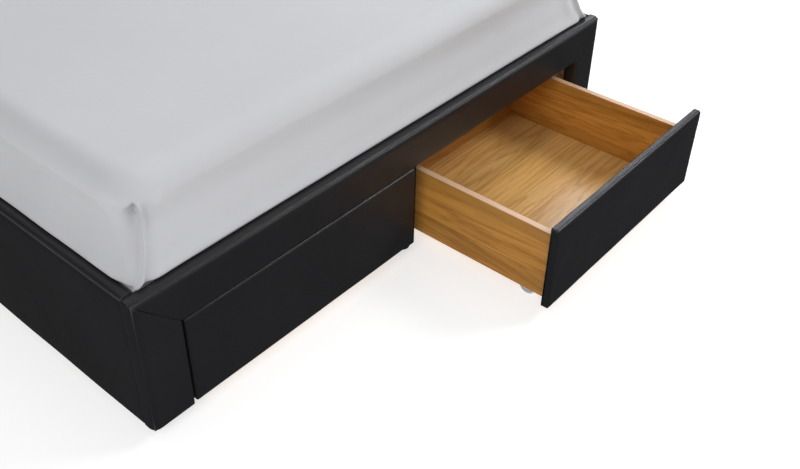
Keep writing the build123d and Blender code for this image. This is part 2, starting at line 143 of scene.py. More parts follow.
def rounded_section(width, height, radii, spacing):
    """Points and outward normals round a rectangle with a radius at each corner.

    The corners go anticlockwise from the lower left. Points are spaced evenly along the sides."""
    corners = rectangle(width / 2, height / 2)
    centres = [corner - radius * np.sign(corner) for corner, radius in zip(corners, radii)]
    points, normals = [], []
    for i, (centre, radius) in enumerate(zip(centres, radii)):
        start = math.pi + i * math.pi / 2
        for angle in np.linspace(start, start + math.pi / 2, ARC_POINTS):
            normal = np.array((math.cos(angle), math.sin(angle)))
            points.append(centre + radius * normal)
            normals.append(normal)
        following = (i + 1) % 4
        side_normal = normals[-1]
        begin = points[-1]
        end = centres[following] + radii[following] * side_normal
        steps = max(2, round(np.linalg.norm(end - begin) / spacing))
        for t in np.linspace(0, 1, steps + 1)[1:-1]:
            points.append(begin + (end - begin) * t)
            normals.append(side_normal)
    return np.array(points), np.array(normals)


def stations_along(length, end_radius, spacing):
    """Stations along a panel, close together over its rounded ends."""
    turn = end_radius * (1 - np.cos(np.linspace(0, math.pi / 2, END_STATIONS)))
    middle = np.linspace(end_radius, length - end_radius, max(3, round(length / spacing)))
    return np.unique(np.round(np.concatenate((turn, middle, length - turn)), 6)) - length / 2


def padded_panel(name, size, radii, end_radius, place, look, spacing, crown=0.0, ripple=0.0, seed=1):
    """A closed, softly padded panel: a rounded section swept along its length, with rounded ends.

    size is the section's width and height and the panel's length. place turns points given as
    (width, height, length) from the panel's middle into points of the part's frame. crown lifts the
    middle of each face, narrow faces less. ripple is the height of the puckers at the end seams."""
    width, height, length = size
    section, normals = rounded_section(width, height, radii, spacing)
    along = stations_along(length, end_radius, spacing)
    from_end = length / 2 - np.abs(along)
    turn = np.clip(end_radius - from_end, 0, None)
    inset = end_radius - np.sqrt(np.clip(end_radius**2 - turn**2, 0, None))
    facing_up, facing_out = np.abs(normals[:, 1]) > 0.5, np.abs(normals[:, 0]) > 0.5
    across = section[:, 0] / (width / 2) * facing_up
    upward = section[:, 1] / (height / 2) * facing_out
    face = np.where(facing_up, width, height)
    face_share = np.sqrt(face / max(width, height))
    face_crown = crown * face_share * (1 - np.clip(np.abs(across + upward), 0, 1) ** CROWN_POWER)
    end_crown = 1 - np.clip(np.abs(along) / (length / 2), 0, 1) ** END_POWER
    lift = face_crown[None, :] * end_crown[:, None] - inset[:, None]
    if ripple:
        walk = np.cumsum(np.r_[0, np.linalg.norm(np.diff(section, axis=0), axis=1)])
        pucker = wave_noise(np.c_[walk, walk * 0, walk * 0], PUCKER_WAVE, seed + 50)
        fade = np.exp(-from_end / PUCKER_REACH) * np.clip(from_end / end_radius, 0, 1)
        lift = lift + ripple * pucker[None, :] * fade[:, None]
    rows = section[None, :, :] + normals[None, :, :] * lift[:, :, None]
    rows = np.concatenate((rows[:1] * CAP_SHARE, rows, rows[-1:] * CAP_SHARE))
    along = np.r_[along[0], along, along[-1]]
    count, rings = len(section), len(along)
    points = np.concatenate((rows, np.repeat(along[:, None, None], count, axis=1)), axis=2).reshape(-1, 3)
    faces = quads_between(rings, count)
    faces.append(tuple(range(count))[::-1])
    faces.append(tuple(range((rings - 1) * count, rings * count)))
    piece = make_object(name, place(points), faces, look)
    editable = bmesh.new()
    editable.from_mesh(piece.data)
    bmesh.ops.recalc_face_normals(editable, faces=editable.faces)
    editable.to_mesh(piece.data)
    editable.free()
    return piece


def soften(piece, wavelength, height, seed):
    """Moves a piece's vertices along their normals by smooth noise."""
    mesh = piece.data
    count = len(mesh.vertices)
    points = np.zeros(count * 3)
    normals = np.zeros(count * 3)
    mesh.vertices.foreach_get("co", points)
    mesh.vertices.foreach_get("normal", normals)
    points, normals = points.reshape(-1, 3), normals.reshape(-1, 3)
    points = points + normals * (height * wave_noise(points, wavelength, seed))[:, None]
    mesh.vertices.foreach_set("co", points.ravel())
    mesh.update()


# ------------------------------------------------------------------ material tools
MIX_COLOURS = (6, 7)  # the Mix node's colour inputs
MIX_RESULT = 2


class Look:
    """A node material under construction: one Principled shader and short ways to feed it."""

    def __init__(self, name, **values):
        self.material = bpy.data.materials.new(name)
        self.material.use_nodes = True
        self.tree = self.material.node_tree
        self.shader = self.tree.nodes["Principled BSDF"]
        for socket, value in values.items():
            self.shader.inputs[socket.replace("_", " ")].default_value = value

    def node(self, kind, **settings):
        """Adds a node. Settings are sockets where it has one of that name, or else properties."""
        made = self.tree.nodes.new(kind)
        for key, value in settings.items():
            if key in made.inputs:
                self.put(made, key, value)
            else:
                setattr(made, key, value)
        return made

    def put(self, node, socket, value):
        """Links a socket, or sets it to a plain value."""
        if isinstance(value, bpy.types.NodeSocket):
            self.tree.links.new(value, node.inputs[socket])
        else:
            node.inputs[socket].default_value = value

    def feed(self, socket, value):
        """Does the same for a socket of the shader."""
        self.put(self.shader, socket, value)

    def place(self, scale=(1, 1, 1)):
        """Coordinates of the piece's own frame, scaled."""
        coordinates = self.node("ShaderNodeTexCoord")
        mapping = self.node("ShaderNodeMapping")
        self.put(mapping, "Vector", coordinates.outputs["Object"])
        mapping.inputs["Scale"].default_value = scale
        return mapping.outputs["Vector"]

    def noise(self, vector, scale, detail=3.0, roughness=0.5, distortion=0.0):
        """Noise between about 0 and 1."""
        made = self.node("ShaderNodeTexNoise")
        self.put(made, "Vector", vector)
        made.inputs["Scale"].default_value = scale
        made.inputs["Detail"].default_value = detail
        made.inputs["Roughness"].default_value = roughness
        made.inputs["Distortion"].default_value = distortion
        return made.outputs["Fac"]

    def span(self, value, low, high, from_low=0.0, from_high=1.0):
        """Maps from_low..from_high to low..high, and holds the ends beyond."""
        made = self.node("ShaderNodeMapRange")
        self.put(made, "Value", value)
        ends = {"From Min": from_low, "From Max": from_high, "To Min": low, "To Max": high}
        for socket, number in ends.items():
            made.inputs[socket].default_value = number
        return made.outputs["Result"]

    def calculate(self, operation, first, second):
        """The result of a Math node."""
        made = self.node("ShaderNodeMath", operation=operation)
        self.put(made, 0, first)
        self.put(made, 1, second)
        return made.outputs[0]

    def ramp(self, value, stops):
        """A colour ramp through stops of (position, colour)."""
        made = self.node("ShaderNodeValToRGB")
        self.put(made, "Fac", value)
        elements = made.color_ramp.elements
        while len(elements) < len(stops):
            elements.new(0.5)
        for element, (position, colour) in zip(elements, stops):
            element.position = position
            element.color = (*colour, 1)
        return made.outputs["Color"]

    def mix(self, factor, first, second):
        """Mixes two colours, each a socket or three numbers."""
        made = self.node("ShaderNodeMix", data_type="RGBA", blend_type="MIX")
        self.put(made, 0, factor)
        for socket, colour in zip(MIX_COLOURS, (first, second)):
            plain = not isinstance(colour, bpy.types.NodeSocket)
            self.put(made, socket, (*colour, 1) if plain else colour)
        return made.outputs[MIX_RESULT]

    def bump(self, height, depth, strength, under=None):
        """Normals of a relief that is depth deep, on top of the normals under it."""
        made = self.node("ShaderNodeBump")
        self.put(made, "Height", height)
        made.inputs["Strength"].default_value = strength
        made.inputs["Distance"].default_value = depth
        if under is not None:
            self.put(made, "Normal", under)
        return made.outputs["Normal"]


LEATHER_DARK = (0.0112, 0.0113, 0.0133)
LEATHER_PALE = (0.0142, 0.0144, 0.0168)
LEATHER_ROUGHNESS = (0.38, 0.46)
CELLS_PER_METRE = 620


def black_leather():
    """Smooth black imitation leather: fine cell grain, soft creases, slightly uneven sheen."""
    look = Look("black_leather", Specular_IOR_Level=0.47)
    place = look.place()
    clouds = look.noise(place, scale=5.0)
    look.feed("Base Color", look.ramp(clouds, ((0.3, LEATHER_DARK), (0.75, LEATHER_PALE))))
    patches = look.noise(place, scale=16.0, detail=4.0)
    look.feed("Roughness", look.span(patches, *LEATHER_ROUGHNESS, from_low=0.3, from_high=0.7))
    cells = look.node("ShaderNodeTexVoronoi", feature="DISTANCE_TO_EDGE")
    look.put(cells, "Vector", place)
    cells.inputs["Scale"].default_value = CELLS_PER_METRE
    grain = look.span(cells.outputs["Distance"], 0.0, 1.0, from_high=0.18)
    creases = look.noise(place, scale=60.0, detail=5.0, roughness=0.6, distortion=0.5)
    soft = look.bump(creases, depth=0.0012, strength=0.25)
    look.feed("Normal", look.bump(grain, depth=0.00012, strength=0.5, under=soft))
    return look.material


GRAIN_ACROSS = 14.0  # how close the figure lies across the grain
GRAIN_ALONG = 0.9
RINGS = 7.0  # growth rings for each turn of the figure
JOINT_WIDTH = 0.022  # share of a strip over which the dark line at its edge fades
STRIP_SHIFT = 7.0  # how far apart the figures of neighbouring strips are taken


def wood(name, along, strips, tones, gloss, pale_above=None, coat=0.08):
    """Lacquered edge-glued boards.

    along is the axis the grain runs, and strips is (axis, width) across the glued strips. tones are
    the early wood, the late wood and the dark streaks. Above pale_above the edge is bare and pale."""
    look = Look(name, Specular_IOR_Level=0.2, Coat_Weight=coat, Coat_Roughness=0.25)
    stretch = [GRAIN_ACROSS] * 3
    stretch[along] = GRAIN_ALONG
    axis, width = strips
    base = look.node("ShaderNodeTexCoord").outputs["Object"]
    split = look.node("ShaderNodeSeparateXYZ")
    look.put(split, 0, base)
    strip = look.calculate("DIVIDE", split.outputs[axis], width)
    number = look.calculate("FLOOR", strip, 0.0)
    cell = look.node("ShaderNodeTexWhiteNoise", noise_dimensions="1D")
    look.put(cell, "W", number)
    shift = look.node("ShaderNodeVectorMath", operation="SCALE")
    look.put(shift, 0, cell.outputs["Color"])
    shift.inputs["Scale"].default_value = STRIP_SHIFT
    moved = look.node("ShaderNodeVectorMath", operation="ADD")
    look.put(moved, 0, look.place(stretch))
    look.put(moved, 1, shift.outputs[0])
    vector = moved.outputs[0]
    figure = look.noise(vector, scale=0.8, detail=5.0, roughness=0.55, distortion=1.6)
    rings = look.calculate("FRACT", look.calculate("MULTIPLY", figure, RINGS), 0.0)
    fine = look.noise(vector, scale=9.0, detail=6.0, roughness=0.7)
    early, late, dark = tones
    colour = look.ramp(rings, ((0.0, early), (0.55, early), (0.86, late), (1.0, early)))
    colour = look.mix(look.span(figure, 0.0, 0.55, 0.35, 0.7), colour, late)
    colour = look.mix(look.span(fine, 0.0, 0.4, 0.45, 0.75), colour, dark)
    tone = look.span(cell.outputs["Value"], 0.86, 1.1)
    shade = look.node("ShaderNodeHueSaturation")
    look.put(shade, "Value", tone)
    look.put(shade, "Color", colour)
    colour = shade.outputs["Color"]
    seam = look.calculate("PINGPONG", strip, 0.5)
    joint = look.span(seam, 1.0, 0.0, from_high=JOINT_WIDTH)
    colour = look.mix(look.calculate("MULTIPLY", joint, 0.35), colour, dark)
    if pale_above is not None:
        level, pale = pale_above
        edge = look.span(split.outputs[2], 0.0, 1.0, level, level + 0.0006)
        tint = look.mix(look.span(fine, 0.0, 0.5, 0.3, 0.8), pale, [0.8 * c for c in pale])
        colour = look.mix(edge, colour, tint)
    look.feed("Base Color", colour)
    look.feed("Roughness", look.span(fine, gloss, gloss + 0.14, 0.3, 0.7))
    grooves = look.bump(joint, depth=0.0004, strength=0.4)
    look.feed("Normal", look.bump(fine, depth=0.0003, strength=0.35, under=grooves))
    return look.material


WEAVE_SCALE = 420


def cotton(name, tone):
    """Plain woven cotton: fine warp and weft, faint slubs, soft sheen."""
    look = Look(name, Specular_IOR_Level=0.2, Sheen_Weight=0.12, Sheen_Roughness=0.6)
    place = look.place()
    clouds = look.noise(place, scale=3.0, detail=4.0)
    low = tuple(0.965 * c for c in tone)
    look.feed("Base Color", look.ramp(clouds, ((0.3, low), (0.7, tone))))
    look.feed("Roughness", look.span(look.noise(place, scale=40.0, detail=4.0), 0.78, 0.9))
    weave = None
    for direction in "XYZ":
        wave = look.node("ShaderNodeTexWave", bands_direction=direction)
        look.put(wave, "Vector", place)
        wave.inputs["Scale"].default_value = WEAVE_SCALE
        wave.inputs["Distortion"].default_value = 0.6
        weave = wave.outputs["Fac"] if weave is None else look.calculate("ADD", weave, wave.outputs["Fac"])
    slubs = look.noise(place, scale=26.0, detail=5.0, roughness=0.55)
    soft = look.bump(slubs, depth=0.002, strength=0.22)
    look.feed("Normal", look.bump(weave, depth=0.00012, strength=0.35, under=soft))
    return look.material


def plain_plastic(name, tone, roughness):
    """Moulded plastic: faint mould texture and uneven gloss."""
    look = Look(name, Specular_IOR_Level=0.45)
    place = look.place()
    pale = tuple(1.12 * c for c in tone)
    look.feed("Base Color", look.ramp(look.noise(place, scale=60.0), ((0.3, tone), (0.8, pale))))
    patches = look.noise(place, scale=90.0, detail=4.0)
    look.feed("Roughness", look.span(patches, roughness, roughness + 0.12))
    relief = look.noise(place, scale=900.0, detail=2.0)
    look.feed("Normal", look.bump(relief, depth=0.0001, strength=0.3))
    return look.material


def metal(name, tone, roughness, metallic=1.0):
    """Plated or painted sheet steel with faint streaks."""
    look = Look(name, Metallic=metallic)
    place = look.place()
    streaks = look.noise(look.place((30, 30, 400)), scale=1.0, detail=4.0)
    dull = tuple(0.85 * c for c in tone)
    look.feed("Base Color", look.ramp(look.noise(place, scale=30.0), ((0.3, tone), (0.8, dull))))
    look.feed("Roughness", look.span(streaks, roughness, roughness + 0.18))
    relief = look.noise(place, scale=500.0, detail=2.0)
    look.feed("Normal", look.bump(relief, depth=0.0001, strength=0.25))
    return look.material


ACROSS, ALONG, UP = 0, 1, 2  # the axes X, Y and Z
OAK_STRIP = 0.041  # width of the strips that the drawers' boards are glued from
BOTTOM_STRIP = 0.07
PINE_STRIP = 0.3
SLAT_STRIP = 0.5
OAK_TONES = ((0.56, 0.265, 0.054), (0.38, 0.155, 0.023), (0.18, 0.062, 0.007))
# A paler copy of the oak tones for the drawers' right side boards: painted light, standing in for the
# light that falls on their inner faces
PAINTED_LIGHT_TONES = ((0.68, 0.32, 0.068), (0.47, 0.2, 0.03), (0.24, 0.085, 0.01))
# Paler tones for the drawer bottoms stand in for the sheen and light on their upward faces: painted
# highlight
PAINTED_SHEEN_BOTTOM_TONES = ((0.8, 0.48, 0.17), (0.6, 0.31, 0.083), (0.3, 0.13, 0.026))
PINE_TONES = ((0.6, 0.42, 0.24), (0.5, 0.32, 0.16), (0.34, 0.2, 0.1))
STAIN_TONES = ((0.012,) * 3, (0.009,) * 3, (0.006,) * 3)
PALE_EDGE = (0.68, 0.44, 0.28)
BOX_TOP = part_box("left_drawer_side_left")[1].z
BARE_TOP = (BOX_TOP - 0.0012, PALE_EDGE)  # the bare top edge of the drawer's boards

LEATHER = black_leather()
OAK_SIDE = wood("oak_boards_lengthwise", ALONG, (UP, OAK_STRIP), OAK_TONES, 0.34, BARE_TOP)
OAK_PAINTED_LIGHT = wood("oak_boards_painted_light", ALONG, (UP, OAK_STRIP), PAINTED_LIGHT_TONES, 0.34, BARE_TOP)
OAK_END = wood("oak_boards_crosswise", ACROSS, (UP, OAK_STRIP), OAK_TONES, 0.34, BARE_TOP)
OAK_BOTTOM = wood("oak_bottom_boards_painted_sheen", ACROSS, (ALONG, BOTTOM_STRIP), PAINTED_SHEEN_BOTTOM_TONES, 0.3, coat=0.3)
PINE_ALONG = wood("pine_lengthwise", ALONG, (UP, PINE_STRIP), PINE_TONES, 0.5)
PINE_ACROSS = wood("pine_crosswise", ACROSS, (ALONG, SLAT_STRIP), PINE_TONES, 0.5)
PINE_UPRIGHT = wood("pine_upright", UP, (ACROSS, PINE_STRIP), PINE_TONES, 0.5)
STAINED = wood("stained_post", UP, (ACROSS, PINE_STRIP), STAIN_TONES, 0.5)
SHEET_COTTON = cotton("sheet_cotton", (0.566, 0.569, 0.59))
TICKING = cotton("mattress_ticking", (0.62, 0.62, 0.6))
# Black cloth on the cores under the leather, so the seams between the leather pieces read dark: painted
# shade
PAINTED_SEAM_SHADE = cotton("painted_seam_shade", (0.02, 0.02, 0.021))
CASTOR_GREY = plain_plastic("castor_grey", (0.6, 0.62, 0.66), 0.35)
BLACK_PLASTIC = plain_plastic("black_plastic", (0.015, 0.015, 0.016), 0.45)
ZINC = metal("zinc_plate", (0.6, 0.6, 0.58), 0.3)
POWDER_COAT = metal("powder_coat", (0.018, 0.018, 0.019), 0.45, 0.0)


def dress(nodes, material):
    """Gives CAD nodes a material."""
    for name in nodes:
        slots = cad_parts[name].data.materials
        slots.clear()
        slots.append(material)


FITTINGS = ("castor_brackets", "castor_axles", "castor_screws", "front_screws")
for drawer in DRAWERS:
    dress([f"{drawer}_side_left"], OAK_SIDE)
    # The right side boards take the paler copy of the oak: painted light
    dress([f"{drawer}_side_right"], OAK_PAINTED_LIGHT)
    dress([f"{drawer}_inner_front", f"{drawer}_back"], OAK_END)
    dress([f"{drawer}_bottom"], OAK_BOTTOM)
    # The front's core takes the painted seam shade
    dress([f"{drawer}_front_core"], PAINTED_SEAM_SHADE)
    dress([f"{drawer}_{part}" for part in FITTINGS], ZINC)
    dress([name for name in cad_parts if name.startswith(f"{drawer}_wheel")], CASTOR_GREY)
dress(["slat_ledge_left", "slat_ledge_right"], PINE_ALONG)
dress(["slats"], PINE_ACROSS)
dress(["support_blocks", "centre_legs"], PINE_UPRIGHT)
# The frame's cores and the headboard board take the painted seam shade, so no bare wood shows in the seams
dress([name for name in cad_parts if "rail_core" in name or "post_core" in name], PAINTED_SEAM_SHADE)
dress(["front_divider"], STAINED)
dress(["headboard_board"], PAINTED_SEAM_SHADE)
dress(["headboard_wrap"], LEATHER)
dress(["centre_beam", "beam_brackets"], POWDER_COAT)
dress(["frame_feet", "leg_glides"], BLACK_PLASTIC)
dress(["frame_bolts", "slat_screws"], ZINC)


# ------------------------------------------------------------------ padded pieces
EDGE_RADIUS = 8 * MM
ROLL_RADIUS = 14 * MM  # outer edges of the foot panel and of the side rails
SEAM_RADIUS = 2.5 * MM
HIDDEN_RADIUS = 3 * MM
FRAME_CROWN = 1.4 * MM
FRAME_PUCKER = 0.5 * MM
FIRM_FILL = 0.9
SOFT_FILL = 0.7


def box_of(name):
    """Size and middle of a CAD node's box."""
    low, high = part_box(name)
    return np.array(high) - np.array(low), np.array((low + high) / 2)


def across_bed(name):
    """Size and placing of a panel that fills a CAD node's box, with its length along X.

    Its section's width runs along Y, and its height along Z."""
    extent, middle = box_of(name)
    return extent[[1, 2, 0]], lambda points: middle + points[:, (2, 0, 1)]


def along_bed(name, side=1):
    """The same with the length along Y, and with the section's width outwards along X."""
    extent, middle = box_of(name)
    return extent[[0, 2, 1]], lambda points: middle + points[:, (0, 2, 1)] * (side, 1, 1)


def frame_leather(name, size, radii, place, spacing, seed):
    """Leather stretched over one of the frame's boards."""
    return padded_panel(
        name, size, radii, SEAM_RADIUS, place, LEATHER, spacing, FRAME_CROWN, FRAME_PUCKER, seed
    )


def declare_padded(piece, replaced, body):
    """Hides the CAD node that a padded piece replaces, and attaches the piece to the body it rides on."""
    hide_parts(replaced)
    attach(piece, body)


# ------------------------------------------------------------------ foot panel and side rails
rail_low, rail_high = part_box("foot_rail_cover")
post_low, post_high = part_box("foot_post_cover_right")
HALF_WIDTH = rail_high.x
PANEL_TOP = rail_high.z
PANEL_THICK = rail_high.y - rail_low.y
PANEL_Y = rail_low.y + PANEL_THICK / 2
RAIL_HEIGHT = rail_high.z - rail_low.z
POST_WIDTH = post_high.x - post_low.x
CLEARANCE = post_low.z


def foot_rail():
    """The rail over the drawers, mitred at both ends."""

    def place(points):
        z = PANEL_TOP - RAIL_HEIGHT / 2 + points[:, 1]
        reach = (HALF_WIDTH - (PANEL_TOP - z)) / HALF_WIDTH
        return np.c_[points[:, 2] * reach, PANEL_Y + points[:, 0], z]

    size = (PANEL_THICK, RAIL_HEIGHT, 2 * HALF_WIDTH)
    radii = (HIDDEN_RADIUS, SEAM_RADIUS, EDGE_RADIUS, ROLL_RADIUS)
    piece = frame_leather("foot_rail_leather", size, radii, place, spacing=0.006, seed=3)
    soften(piece, wavelength=0.22, height=0.35 * MM, seed=11)
    declare_padded(piece, "foot_rail_cover", "root")


def foot_post(label, side):
    """A post beside the drawers, mitred at its top."""
    height = PANEL_TOP - CLEARANCE

    def place(points):
        x = side * (HALF_WIDTH - POST_WIDTH / 2 + points[:, 0])
        top = PANEL_TOP - (HALF_WIDTH - np.abs(x))
        share = (points[:, 2] + height / 2) / height
        return np.c_[x, PANEL_Y + points[:, 1], CLEARANCE + share * (top - CLEARANCE)]

    size = (POST_WIDTH, PANEL_THICK, height)
    radii = (HIDDEN_RADIUS, ROLL_RADIUS, HIDDEN_RADIUS, SEAM_RADIUS)
    piece = frame_leather(f"foot_post_leather_{label}", size, radii, place, spacing=0.005, seed=7)
    soften(piece, wavelength=0.15, height=0.3 * MM, seed=12)
    declare_padded(piece, f"foot_post_cover_{label}", "root")


def side_rail(label, side):
    """A long side rail between the foot panel and the headboard."""
    cover = f"side_rail_cover_{label}"
    size, place = along_bed(cover, side)
    radii = (HIDDEN_RADIUS, HIDDEN_RADIUS, ROLL_RADIUS, EDGE_RADIUS)
    piece = frame_leather(f"side_rail_leather_{label}", size, radii, place, spacing=0.009, seed=9)
    soften(piece, wavelength=0.3, height=0.5 * MM, seed=13)
    declare_padded(piece, cover, "root")


foot_rail()
for side_name, side_sign in SIDES.items():
    foot_post(side_name, side_sign)
    side_rail(side_name, side_sign)


# ------------------------------------------------------------------ drawer fronts
FRONT_RADII = (4 * MM, 1.5 * MM, 2.5 * MM, 7 * MM)  # front and back bottom, back and front top
FRONT_END_RADIUS = 4 * MM
FRONT_CROWN = 1.8 * MM
FRONT_PUCKER = 0.3 * MM


def drawer_front(drawer):
    """Leather stretched over the drawer's front board and round its edges."""
    cover = f"{drawer}_front_cover"
    size, place = across_bed(cover)
    piece = padded_panel(
        f"{drawer}_front_leather", size, FRONT_RADII, FRONT_END_RADIUS, place, LEATHER,
        spacing=0.005, crown=FRONT_CROWN, ripple=FRONT_PUCKER, seed=21,
    )
    soften(piece, wavelength=0.2, height=0.3 * MM, seed=14)
    declare_padded(piece, cover, drawer)


for drawer in DRAWERS:
    drawer_front(drawer)


# ------------------------------------------------------------------ headboard
# Each panel's radius at the front, crown and filling.
FLAT_PANEL = (4 * MM, 1 * MM, FIRM_FILL)
FULL_PANEL = (17 * MM, 6 * MM, SOFT_FILL)
HEADBOARD_PANELS = {
    "lower_panel": FLAT_PANEL,
    "pad_low": FULL_PANEL,
    "pad_middle": FULL_PANEL,
    "pad_top": FULL_PANEL,
}
HEADBOARD_PUCKER = 0.8 * MM


def headboard():
    """Three padded panels over a flat lower panel."""
    for row, (label, (front, crown, fill)) in enumerate(HEADBOARD_PANELS.items()):
        size, place = across_bed(f"headboard_{label}")
        radii = (front, HIDDEN_RADIUS, HIDDEN_RADIUS, front)
        piece = padded_panel(
            f"headboard_leather_{label}", size, radii, front, place, LEATHER,
            spacing=0.012, crown=crown, ripple=HEADBOARD_PUCKER, seed=30 + row,
        )
        soften(piece, wavelength=0.25, height=0.8 * MM, seed=40 + row)
        declare_padded(piece, f"headboard_{label}", "root")


headboard()


# ------------------------------------------------------------------ mattress
MATTRESS_RADII = (0.02, 0.02, 0.06, 0.06)
MATTRESS_END_RADIUS = 0.06
MATTRESS_SLACK = (0.05, 0.01, 0.05)  # how much smaller it is drawn than in CAD, to stay in the sheet


def mattress():
    """The mattress inside the sheet."""
    size, place = along_bed("mattress")
    piece = padded_panel(
        "mattress_core", size - MATTRESS_SLACK, MATTRESS_RADII, MATTRESS_END_RADIUS, place, TICKING,
        spacing=0.03,
    )
    declare_padded(piece, "mattress", "root")


mattress()


# ------------------------------------------------------------------ sheet
sheet_low, sheet_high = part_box("fitted_sheet")
SHEET_TOP, SHEET_HEM = sheet_high.z, sheet_low.z
SHEET_HALF_WIDTH = (sheet_high.x - sheet_low.x) / 2
SHEET_HALF_LENGTH = (sheet_high.y - sheet_low.y) / 2
SHEET_EDGE = 0.055  # radius of the sheet's roll over the mattress's top edge
ROLL_Z = SHEET_TOP - SHEET_EDGE  # where the roll ends and the side begins
TOP_CORNER = 0.075  # corner radius seen from above, at the top
LOW_CORNER = 0.012  # the same where the sheet goes behind the rails
SHARP_CORNER = 0.002
FOLD_REACH = 0.09  # half the width of the finely divided strip at each corner
FOLD_STEP = 0.002
SIDE_STEP = 0.013
HIDDEN_Z = PANEL_TOP - 0.01  # from here down the sheet is behind the rails

# The fold at a corner. Levels run from 0 at the rails' tops to 1 under the sheet's roll.
FOLD_RUN = (
    (-0.05, -0.007),
    (0.12, 0.011),
    (0.24, 0.02),
    (0.47, 0.03),
    (0.7, 0.034),
    (0.95, 0.034),
    (1.16, 0.022),
)  # level, and the folded edge's distance past the corner
FOLD_TOP = 1.14  # level at which the fold dies out
FLAP_HEIGHT = 0.0055
ROLL_HEIGHT = 0.0056
VALLEY_DEPTH = 0.0042
SECOND_HEIGHT = 0.0045
POCKET_DEPTH = 0.021

# Everything else that lifts the cloth off its smooth shape: height and wavelength of waves first.
CREASES = (0.002, 0.075)
LONG_CREASES = (0.0016, 0.2)
TOP_WAVES = (0.0022, 0.55)
SIDE_SWELL = 0.002
HOLLOW_DEPTH = 0.0185
BRIM_HEIGHT = 0.011
BRIM_AT_CORNER = 0.35  # share of the brim that is left at the corners
TUCK_DEPTH = 0.003


def smooth_step(low, high, value):
    """0 below low, 1 above high, and a smooth rise between."""
    t = np.clip((value - low) / (high - low), 0, 1)
    return t * t * (3 - 2 * t)


def hump(value, middle, width):
    """A smooth bell of height 1 round the middle."""
    return np.exp(-(((value - middle) / width) ** 2))


def walk_round(half_w, half_l):
    """Points round a sharp rectangle, close together near its corners.

    Also gives each point's distance past its nearest corner, positive on the bed's end faces."""
    corners = rectangle(half_w, half_l)
    points, past = [], []
    for i in range(4):
        begin, goal = corners[i], corners[(i + 1) % 4]
        length = np.linalg.norm(goal - begin)
        fine = np.arange(0, FOLD_REACH, FOLD_STEP)
        middle = np.linspace(FOLD_REACH, length - FOLD_REACH, round(length / SIDE_STEP))
        steps = np.concatenate((fine, middle, length - fine[:0:-1]))
        sign = 1 if i % 2 == 0 else -1
        for step in steps:
            points.append(begin + (goal - begin) * (step / length))
            past.append(sign * min(step, length - step))
    return np.array(points), np.array(past)


def round_corners(points, half_w, half_l, radius):
    """Moves points on a sharp rectangle onto the same rectangle with rounded corners."""
    inner = np.clip(points, (radius - half_w, radius - half_l), (half_w - radius, half_l - radius))
    out = points - inner
    size = np.linalg.norm(out, axis=1)
    size[size == 0] = 1
    return inner + out * (radius / size)[:, None]


def sheet_rows():
    """Inset, height and corner radius of each row of points, from the top's middle to the hem."""
    rows = []
    for inset in np.linspace(SHEET_HALF_WIDTH - SHARP_CORNER, SHEET_EDGE, 34, endpoint=False):
        rows.append((inset, SHEET_TOP, max(TOP_CORNER - inset, SHARP_CORNER)))
    for angle in np.linspace(0, math.pi / 2, 18):
        inset = SHEET_EDGE * (1 - math.sin(angle))
        rows.append((inset, SHEET_TOP - SHEET_EDGE * (1 - math.cos(angle)), TOP_CORNER - inset))
    side = np.linspace(ROLL_Z, PANEL_TOP + 0.02, 44)[1:]
    over_rail = np.linspace(PANEL_TOP + 0.0185, HIDDEN_Z, 20)
    hidden = np.linspace(HIDDEN_Z, SHEET_HEM, 16)[1:]
    for z in (*side, *over_rail, *hidden):
        share = smooth_step(PANEL_TOP, ROLL_Z, z)
        rows.append((0, z, LOW_CORNER + (TOP_CORNER - LOW_CORNER) * share))
    return rows


def corner_fold(past, level):
    """Height of the cloth near a corner, where its spare width is folded over.

    past is the distance past the corner. A flap with a rolled edge lies on the end face, with a
    valley and a second soft fold beside it, and the cloth sinks into a pocket before its top."""
    beyond = past - np.interp(level, *zip(*FOLD_RUN))
    before, after = np.clip(-beyond, 0, None), np.clip(beyond, 0, None)
    tall = smooth_step(FOLD_TOP, 1.0, level)
    flap = FLAP_HEIGHT * smooth_step(-0.002, 0.002, beyond) * np.exp(-after / 0.05)
    roll = ROLL_HEIGHT * hump(beyond, 0.0038, 0.0036)
    valley = -VALLEY_DEPTH * hump(beyond, 0.018, 0.01)
    second = SECOND_HEIGHT * hump(beyond, 0.04, 0.017) * smooth_step(0.0, 0.3, level)
    pocket_height = smooth_step(FOLD_TOP, 0.97, level) * smooth_step(0.6, 0.94, level)
    spread = 0.006 + 0.042 * smooth_step(1.12, 0.82, level)
    pocket = -POCKET_DEPTH * pocket_height * hump(before, 0.0, spread) * smooth_step(0.003, 0.0, beyond)
    return tall * (flap + roll + valley + second) + pocket


def side_creases(points, levels, past):
    """Small creases near the corners, and long shallow ones all round."""
    height, wavelength = CREASES
    away = np.abs(past)
    walk = np.c_[past, past * 0, levels * 0.03]
    near = np.exp(-away / 0.16) * smooth_step(0.05, 0.12, away)
    creases = height * wave_noise(walk, wavelength, 5) * near
    height, wavelength = LONG_CREASES
    long_creases = height * wave_noise(points * (1, 1, 0.15), wavelength, 6)
    return (creases + long_creases) * smooth_step(0.0, 0.12, levels) * smooth_step(1.25, 0.7, levels)


def rail_brim(points, levels, past):
    """Where the sheet comes out over the rail, and is tucked in behind it.

    It fades towards the headboard, and is less at the corners."""
    brim = BRIM_HEIGHT * hump(levels, 0.06, 0.12) * smooth_step(-0.01, 0.045, levels)
    tuck = TUCK_DEPTH * smooth_step(0.03, -0.03, levels)
    clear_of_head = smooth_step(sheet_high.y - 0.02, sheet_high.y - 0.1, points[:, 1])
    share = BRIM_AT_CORNER + (1 - BRIM_AT_CORNER) * smooth_step(0.0, 0.05, np.abs(past))
    return (brim - tuck) * clear_of_head * share


